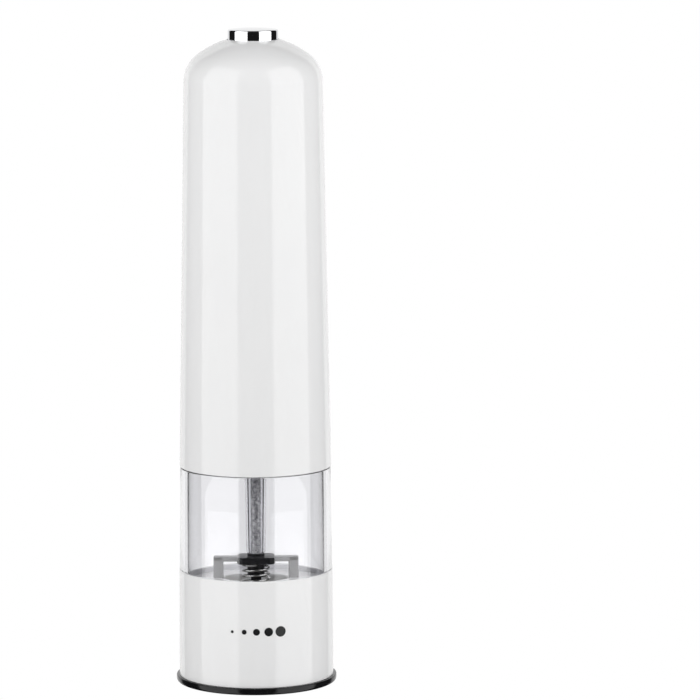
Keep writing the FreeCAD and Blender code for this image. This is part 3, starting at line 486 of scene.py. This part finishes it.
@dataclass
class HousingShell:
    """Tall white shell with its domed top, guide ring and bayonet ledges."""

    wall: float = 1.8
    shoulder_round: float = 11.5
    crown_radius: float = 31.0
    taper: float = 2.29
    ledge_reach: float = 1.54
    ledge_low: float = 1.3
    ledge_high: float = 3.5
    ledge_angle: float = 26.0
    ledge_turn: float = 60.0
    hole: float = 8.7

    def build(self) -> None:
        """Make the shell and its ledges."""
        low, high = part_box("outer_shell")
        rim_r, rim_z, top_z = mm(high.x), mm(low.z), mm(high.z)
        crown_z = top_z - math.sqrt(self.crown_radius ** 2 - self.hole ** 2)
        dome_r = rim_r - self.taper
        run = dome_r - self.shoulder_round
        span = self.crown_radius - self.shoulder_round
        shoulder_z = crown_z + math.sqrt(span ** 2 - run ** 2)
        tangent = math.degrees(math.atan2(shoulder_z - crown_z, run))
        corners = [Corner(rim_r - self.wall, rim_z, 0.25), Corner(rim_r, rim_z, 0.35)]
        corners += arc_corners((run, shoulder_z), self.shoulder_round, 0, tangent, 18)
        corners += self._crown(crown_z, self.crown_radius, tangent)[1:]
        corners += list(reversed(self._crown(crown_z, self.crown_radius - self.wall, tangent)))
        corners += arc_corners((run, shoulder_z), self.shoulder_round - self.wall, tangent, 0, 14)[1:]
        finish_piece(lathe_mesh(corners, Round.LOOP), "housing_shell", "shell", "gloss_white",
                     ("outer_shell",))
        self._ledges(rim_r, rim_z)
        self._guide_ring(crown_z)

    def _crown(self, crown_z: float, radius: float, tangent: float) -> list:
        """Corners of the crown from the shoulder to the button hole."""
        edge = math.degrees(math.acos(self.hole / radius))
        return arc_corners((0, crown_z), radius, tangent, edge, 14)

    def _guide_ring(self, crown_z: float) -> None:
        """Snap ring under the dome that holds the button guide."""
        low = mm(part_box("button_guide")[0].z)
        reach = self.crown_radius - self.wall + 0.4
        tops = [crown_z + math.sqrt(reach ** 2 - r ** 2) for r in (16.4, 15.05)]
        corners = [Corner(14.2, low + 1.7, 0.2), Corner(16.4, low + 1.7, 0.2), Corner(16.4, tops[0]),
                   Corner(15.05, tops[1]), Corner(15.05, low + 5.2), Corner(14.2, low + 5.2),
                   Corner(14.2, low + 4.85), Corner(15.05, low + 4.85), Corner(15.05, low + 2.6),
                   Corner(14.2, low + 2.6, 0.15)]
        finish_piece(lathe_mesh(corners, Round.LOOP, 96), "shell_guide_ring", "shell", "gloss_white")

    def _ledges(self, rim_r: float, rim_z: float) -> None:
        """Three inward bayonet ledges near the rim."""
        inner = rim_r - self.wall - self.ledge_reach + 0.3
        outer = rim_r - self.wall + 0.3
        mesh = bmesh.new()
        for index in range(3):
            middle = self.ledge_turn + 120.0 * index
            add_sector(mesh, inner, outer, rim_z + self.ledge_low, rim_z + self.ledge_high, middle,
                       self.ledge_angle)
        finish_piece(mesh, "shell_bayonet_ledges", "shell", "gloss_white")


def add_sector(mesh: bmesh.types.BMesh, inner: float, outer: float, low: float, high: float,
               middle: float, angle: float) -> None:
    """Add a curved block to a bmesh.

    Args:
        mesh: the bmesh it is added to.
        inner: inner radius in millimetres.
        outer: outer radius.
        low: lower level.
        high: upper level.
        middle: angle of its middle in degrees.
        angle: its full angle in degrees.
    """
    part = bmesh.new()
    spots = ((inner, low), (outer, low), (outer, high), (inner, high))
    face = part.faces.new([part.verts.new((r * MM, 0, z * MM)) for r, z in spots])
    bmesh.ops.rotate(part, verts=part.verts, cent=(0, 0, 0),
                     matrix=Matrix.Rotation(math.radians(middle - angle / 2), 3, "Z"))
    bmesh.ops.spin(part, geom=[face], cent=(0, 0, 0), axis=(0, 0, 1), angle=math.radians(angle), steps=16)
    bmesh.ops.remove_doubles(part, verts=part.verts, dist=1e-7)
    bmesh.ops.holes_fill(part, edges=part.edges, sides=0)
    bmesh.ops.recalc_face_normals(part, faces=part.faces)
    data = bpy.data.meshes.new("sector")
    part.to_mesh(data)
    part.free()
    mesh.from_mesh(data)
    bpy.data.meshes.remove(data)


@dataclass
class PushButton:
    """Chromed button cap in the dome."""

    edge: float = 0.55
    crown: float = 0.5
    skin: float = 1.0
    stem: float = 2.0

    def build(self) -> None:
        """Make the cap with its flange and stem."""
        low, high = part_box("button_cap")
        top, foot, flange_r = mm(high.z), mm(low.z), mm(high.x)
        flange = mm(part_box("button_spring")[1].z)
        radius = flange_r - 1.02
        face_r = radius - self.edge
        ball = (face_r ** 2 + self.crown ** 2) / (2 * self.crown)
        corners = [Corner(0, foot), Corner(self.stem, foot, 0.3), Corner(self.stem, top - 1.5, 0.3),
                   Corner(radius - self.skin, top - 1.5, 0.4), Corner(radius - self.skin, flange, 0.15),
                   Corner(flange_r, flange, 0.2), Corner(flange_r, flange + 1.2, 0.2),
                   Corner(radius, flange + 1.2, 0.2), Corner(radius, top - self.crown, self.edge * 0.9)]
        rise = math.degrees(math.acos(face_r / ball))
        corners += arc_corners((0, top - ball), ball, rise, 90, 10)
        corners[-1].radius = 0.0
        finish_piece(lathe_mesh(corners, Round.AXIS), "push_button", "button", "chrome", ("button_cap",))


@dataclass
class PepperChamber:
    """Clear chamber with its neck and bayonet lugs."""

    wall: float = 3.2
    lug_angle: float = 26.0

    def build(self) -> None:
        """Make the chamber and its lugs."""
        low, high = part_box("pepper_chamber")
        rim = mm(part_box("outer_shell")[0].z) - 0.2
        base = mm(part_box("base_sleeve")[1].z)
        foot, neck, radius = mm(low.z), mm(high.z), mm(high.x)
        body_r = radius + 0.3
        inner = radius - self.wall
        corners = [Corner(inner, foot, 0.2), Corner(body_r - 2.1, foot, 0.2), Corner(body_r - 2.1, base),
                   Corner(radius, base + 0.02, 0.15), Corner(body_r - 0.76, rim, 0.25),
                   Corner(body_r - 2.6, rim), Corner(body_r - 2.6, rim + 1.2, 0.2),
                   Corner(body_r - 3.9, rim + 1.2), Corner(body_r - 3.9, neck, 0.3),
                   Corner(body_r - 5.8, neck, 0.3), Corner(body_r - 5.8, rim + 0.1, 0.3),
                   Corner(inner, rim - 0.5, 0.3)]
        mesh = lathe_mesh(corners, Round.LOOP)
        for index in range(3):
            add_sector(mesh, body_r - 3.9, body_r - 2.7, rim + 4.1, rim + 6.1, 120.0 * index,
                       self.lug_angle)
        finish_piece(mesh, "clear_chamber", "base", "clear_acrylic", ("pepper_chamber",))


@dataclass
class BaseSleeve:
    """White sleeve round the grinder, its foot ring and the coarseness marks on its front."""

    wall: float = 2.0
    dots: int = 5
    dot_level: float = 21.3
    dot_pitch: float = 4.1
    smallest: float = 0.5
    growth: float = 0.32
    proud: float = 0.06

    def build(self) -> None:
        """Make the sleeve, the foot ring and the marks."""
        low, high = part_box("base_sleeve")
        foot, top, radius = mm(low.z), mm(high.z), mm(high.x)
        corners = [Corner(radius - self.wall, foot), Corner(radius, foot, 0.2),
                   Corner(radius - 0.18, top, 0.3), Corner(radius - self.wall, top, 0.2)]
        finish_piece(lathe_mesh(corners, Round.LOOP), "white_base_sleeve", "base", "gloss_white",
                     ("base_sleeve",))
        self._foot_ring()
        self._marks(radius)

    def _foot_ring(self) -> None:
        """Gloss black ring that the mill stands on."""
        low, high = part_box("foot_ring")
        radius, top = mm(high.x), mm(high.z)
        corners = [Corner(radius - 5.6, 0, 0.3), Corner(radius, 0, 0.9), Corner(radius, top, 0.35),
                   Corner(radius - 5.6, top, 0.2)]
        finish_piece(lathe_mesh(corners, Round.LOOP), "black_foot_ring", "base", "gloss_black",
                     ("foot_ring",))

    def _marks(self, radius: float) -> None:
        """Row of printed dots, fine to coarse, wrapped on the sleeve's front."""
        mesh = bmesh.new()
        for index in range(self.dots):
            size = self.smallest + self.growth * index
            along = (index - (self.dots - 1) / 2) * self.dot_pitch
            dot = bmesh.ops.create_circle(mesh, cap_ends=True, cap_tris=True, segments=28,
                                          radius=size * MM)["verts"]
            bmesh.ops.rotate(mesh, verts=dot, cent=(0, 0, 0), matrix=Matrix.Rotation(math.pi / 2, 3, "X"))
            bmesh.ops.translate(mesh, verts=dot, vec=(along * MM, 0, self.dot_level * MM))
        up = mesh.faces[:]
        raised = bmesh.ops.extrude_face_region(mesh, geom=up)["geom"]
        moved = {v for v in raised if isinstance(v, bmesh.types.BMVert)}
        for vert in mesh.verts:
            reach = (radius - 0.1 + (self.proud if vert in moved else -0.05)) * MM
            turn = vert.co.x / (radius * MM)
            vert.co.x, vert.co.y = reach * math.sin(turn), -reach * math.cos(turn)
        bmesh.ops.recalc_face_normals(mesh, faces=mesh.faces)
        finish_piece(mesh, "coarseness_marks", "base", "black_plastic")


@dataclass
class DriveLine:
    """Clear tube, mottled hexagonal shaft and the bridge that carries the spindle."""

    tube_bore: float = 2.15
    edge: float = 0.18

    def build(self) -> None:
        """Make the tube, the shaft, the bridge and its bush."""
        self._tube()
        self._shaft()
        self._bridge()

    def _tube(self) -> None:
        """Clear tube round the drive shaft."""
        low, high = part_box("shaft_tube")
        foot, top, flange = mm(low.z), mm(high.z), mm(high.x)
        rim = mm(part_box("outer_shell")[0].z) - 2.2
        corners = [Corner(self.tube_bore, foot, 0.2), Corner(3.2, foot, 0.3), Corner(3.7, rim),
                   Corner(3.7, top - 1.5), Corner(flange, top - 1.5, 0.2), Corner(flange, top, 0.2),
                   Corner(2.5, top), Corner(2.5, rim)]
        finish_piece(lathe_mesh(corners, Round.LOOP, 96), "clear_shaft_tube", "power_unit",
                     "clear_acrylic", ("shaft_tube",))

    def _shaft(self) -> None:
        """Hexagonal shaft with softened edges."""
        low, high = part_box("drive_shaft")
        mesh = bmesh.new()
        bmesh.ops.create_cone(mesh, cap_ends=True, segments=6, radius1=high.x, radius2=high.x,
                              depth=high.z - low.z)
        bmesh.ops.translate(mesh, verts=mesh.verts, vec=(0, 0, (high.z + low.z) / 2))
        if abs(max(v.co.y for v in mesh.verts) - high.y) > MM * 0.1:
            bmesh.ops.rotate(mesh, verts=mesh.verts, cent=(0, 0, 0),
                             matrix=Matrix.Rotation(math.pi / 6, 3, "Z"))
        bmesh.ops.bevel(mesh, geom=mesh.edges[:], offset=self.edge * MM, offset_type="OFFSET",
                        affect="EDGES", segments=3, profile=0.5, material=-1)
        finish_piece(mesh, "hex_drive_shaft", "output_stage", "plated_steel", ("drive_shaft",))

    def _bridge(self) -> None:
        """Bridge with rounded edges, painted grey as a painted reflection of the clear chamber's veil over
        a black bridge, and the black bush clipped on its middle.
        """
        low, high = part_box("bridge_bracket")
        hub_low, hub_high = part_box("bridge_bush")
        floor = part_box("grinder_housing")[1].z
        bar_low = hub_low.z + 0.5 * MM
        bar_high = high.z - 0.05 * MM
        depth, leg = 2.0 * MM, 3.3 * MM
        mesh = box_mesh(Vector((low.x, -depth, bar_low)), Vector((high.x, depth, bar_high)), 0.35)
        for side in (-1, 1):
            inner, outer = sorted((side * high.x, side * (high.x - leg)))
            foot, top = Vector((inner, -depth, floor - 0.6 * MM)), Vector((outer, depth, bar_high))
            part = box_mesh(foot, top, 0.35)
            join_into(mesh, part)
        # The bridge's grey is painted reflection standing in for the chamber wall's milky veil; the bush
        # keeps its true black.
        finish_piece(mesh, "painted_veil_bridge", "base", "bracket_grey", ("bridge_bracket",))
        hub = bmesh.new()
        bmesh.ops.create_cube(hub, size=1.0)
        bmesh.ops.scale(hub, vec=hub_high - hub_low, verts=hub.verts)
        bmesh.ops.translate(hub, vec=(hub_low + hub_high) / 2, verts=hub.verts)
        upright = [e for e in hub.edges if abs(e.verts[0].co.z - e.verts[1].co.z) > MM]
        bmesh.ops.bevel(hub, geom=upright, offset=2.2 * MM, offset_type="OFFSET", affect="EDGES",
                        segments=8, profile=0.5, material=-1)
        rim = [e for e in hub.edges if abs(e.verts[0].co.z - e.verts[1].co.z) < 1e-6]
        bmesh.ops.bevel(hub, geom=rim, offset=0.4 * MM, offset_type="OFFSET", affect="EDGES",
                        segments=3, profile=0.5, material=-1)
        finish_piece(hub, "black_bridge_bush", "base", "black_plastic", ("bridge_bush",))


def join_into(mesh: bmesh.types.BMesh, part: bmesh.types.BMesh) -> None:
    """Copy one bmesh into another and free it."""
    data = bpy.data.meshes.new("joined")
    part.to_mesh(data)
    part.free()
    mesh.from_mesh(data)
    bpy.data.meshes.remove(data)


@dataclass
class CadDress:
    """Gives every CAD node that stays its own finish."""

    sharp: float = 30.0

    def build(self) -> None:
        """Dress the nodes by the record's material slots."""
        for entry in frame["record"]["subparts"]:
            node = frame["nodes"][entry["node"]]
            slot = entry["material_slot"]
            for index in range(max(1, len(node.data.materials))):
                if node.data.materials:
                    node.data.materials[index] = MATERIALS[slot]
                else:
                    node.data.materials.append(MATERIALS[slot])
            LOG.info("%s dressed in %s", node.name, slot)


# ---------------------------------------------------------------- studio


@dataclass
class Studio:
    """Pale floor, white surround, two soft boxes and the camera."""

    distance: float = 1.536
    height: float = 0.330
    pitch: float = 8.07
    yaw: float = -1.19
    roll: float = -0.17
    lens: float = 238.1
    softbox_power: float = 14.8
    ambient: float = 0.012
    behind: float = 1.0
    above: float = 0.15
    white_span: tuple = (0.69, 0.76)
    floor_size: float = 8.0
    softboxes: tuple = field(default_factory=lambda: (
        ("soft_box_left", -58.0, 0.0, 1.25, 1.5), ("soft_box_right", 60.0, 0.0, 1.2, 1.5)))

    def build(self) -> None:
        """Make the whole set."""
        self._world()
        self._floor()
        self._lights()
        self._camera()

    def _world(self) -> None:
        """White to the camera; to the mill, white behind and above and dark in front and beside."""
        world = bpy.data.worlds.new("surround")
        world.use_nodes = True
        bpy.context.scene.world = world
        tree = world.node_tree
        back = tree.nodes["Background"]
        split = tree.nodes.new("ShaderNodeSeparateXYZ")
        tree.links.new(tree.nodes.new("ShaderNodeTexCoord").outputs["Generated"], split.inputs[0])
        level = None
        for axis, low, high, value in (("Y", *self.white_span, self.behind), ("Z", 0.55, 0.95, self.above)):
            ramp = tree.nodes.new("ShaderNodeMapRange")
            ramp.interpolation_type = "SMOOTHSTEP"
            for label, number in (("From Min", low), ("From Max", high), ("To Min", self.ambient),
                                  ("To Max", value)):
                ramp.inputs[label].default_value = number
            tree.links.new(split.outputs[axis], ramp.inputs["Value"])
            if level is None:
                level = ramp.outputs[0]
                continue
            most = tree.nodes.new("ShaderNodeMath")
            most.operation = "MAXIMUM"
            tree.links.new(level, most.inputs[0])
            tree.links.new(ramp.outputs[0], most.inputs[1])
            level = most.outputs[0]
        seen = tree.nodes.new("ShaderNodeMath")
        seen.operation = "MAXIMUM"
        tree.links.new(tree.nodes.new("ShaderNodeLightPath").outputs["Is Camera Ray"], seen.inputs[0])
        tree.links.new(level, seen.inputs[1])
        back.inputs["Color"].default_value = (1, 1, 1, 1)
        tree.links.new(seen.outputs[0], back.inputs["Strength"])

    def _floor(self) -> None:
        """Plain pale floor that melts into the surround."""
        mesh = bmesh.new()
        bmesh.ops.create_grid(mesh, x_segments=1, y_segments=1, size=self.floor_size)
        data = bpy.data.meshes.new("studio_floor")
        mesh.to_mesh(data)
        mesh.free()
        floor = bpy.data.objects.new("studio_floor", data)
        bpy.context.scene.collection.objects.link(floor)
        material = bpy.data.materials.new("studio_floor")
        material.use_nodes = True
        tree = material.node_tree
        tree.nodes.remove(tree.nodes["Principled BSDF"])
        glow = tree.nodes.new("ShaderNodeEmission")
        matt = tree.nodes.new("ShaderNodeBsdfDiffuse")
        matt.inputs["Color"].default_value = (0.8, 0.8, 0.8, 1)
        polish = tree.nodes.new("ShaderNodeBsdfGlossy")
        polish.inputs["Color"].default_value = (0.95, 0.95, 0.95, 1)
        polish.inputs["Roughness"].default_value = 0.04
        path = tree.nodes.new("ShaderNodeLightPath")
        under = tree.nodes.new("ShaderNodeMixShader")
        tree.links.new(path.outputs["Is Glossy Ray"], under.inputs[0])
        tree.links.new(matt.outputs[0], under.inputs[1])
        tree.links.new(polish.outputs[0], under.inputs[2])
        seen = tree.nodes.new("ShaderNodeMath")
        seen.operation = "MAXIMUM"
        tree.links.new(path.outputs["Is Camera Ray"], seen.inputs[0])
        tree.links.new(path.outputs["Is Transmission Ray"], seen.inputs[1])
        bright = tree.nodes.new("ShaderNodeMath")
        bright.operation = "MAXIMUM"
        tree.links.new(path.outputs["Is Camera Ray"], bright.inputs[0])
        tree.links.new(self._behind_mill(tree), bright.inputs[1])
        tree.links.new(bright.outputs[0], glow.inputs["Strength"])
        mix = tree.nodes.new("ShaderNodeMixShader")
        tree.links.new(seen.outputs[0], mix.inputs[0])
        tree.links.new(under.outputs[0], mix.inputs[1])
        tree.links.new(glow.outputs[0], mix.inputs[2])
        tree.links.new(mix.outputs[0], tree.nodes["Material Output"].inputs["Surface"])
        data.materials.append(material)

    def _behind_mill(self, tree: bpy.types.NodeTree) -> bpy.types.NodeSocket:
        """Mask of the floor that lies behind the mill as seen from it. Returns its output."""
        way = tree.nodes.new("ShaderNodeVectorMath")
        way.operation = "NORMALIZE"
        tree.links.new(tree.nodes.new("ShaderNodeTexCoord").outputs["Object"], way.inputs[0])
        split = tree.nodes.new("ShaderNodeSeparateXYZ")
        tree.links.new(way.outputs[0], split.inputs[0])
        ramp = tree.nodes.new("ShaderNodeMapRange")
        ramp.interpolation_type = "SMOOTHSTEP"
        for label, number in zip(("From Min", "From Max", "To Min", "To Max"),
                                 (*self.white_span, self.ambient, self.behind)):
            ramp.inputs[label].default_value = number
        tree.links.new(split.outputs["Y"], ramp.inputs["Value"])
        return ramp.outputs[0]

    def _lights(self) -> None:
        """Two upright soft boxes in front of the mill, left and right."""
        for name, turn, lift, width, tall in self.softboxes:
            data = bpy.data.lights.new(name, "AREA")
            data.shape = "RECTANGLE"
            data.size, data.size_y = width, tall
            data.energy = self.softbox_power
            light = bpy.data.objects.new(name, data)
            bpy.context.scene.collection.objects.link(light)
            angle = math.radians(turn)
            light.location = (math.sin(angle), -math.cos(angle), tall / 2 + lift)
            direction = Vector((0, 0, light.location.z)) - light.location
            light.rotation_euler = direction.to_track_quat("-Z", "Y").to_euler()
            light.visible_camera = False
            LOG.info("%s, %.1f W", name, data.energy)

    def _camera(self) -> None:
        """Long lens from the front, a little above."""
        data = bpy.data.cameras.new("camera")
        data.lens = self.lens
        data.clip_start, data.clip_end = 0.05, 30.0
        camera = bpy.data.objects.new("camera", data)
        bpy.context.scene.collection.objects.link(camera)
        turn = (Matrix.Rotation(math.radians(self.yaw), 4, "Z")
                @ Matrix.Rotation(math.radians(90 - self.pitch), 4, "X")
                @ Matrix.Rotation(math.radians(self.roll), 4, "Z"))
        camera.matrix_world = Matrix.Translation((0, -self.distance, self.height)) @ turn
        bpy.context.scene.camera = camera


def main() -> None:
    """Build the mill and the studio."""
    logging.basicConfig(level=logging.INFO, format="%(name)s: %(message)s")
    for part in (CadDress(), HousingShell(), PushButton(), PepperChamber(), BaseSleeve(), DriveLine(),
                 Studio()):
        part.build()
    view = bpy.context.scene.view_settings
    view.view_transform = "Standard"


if __name__ == "__main__":
    main()
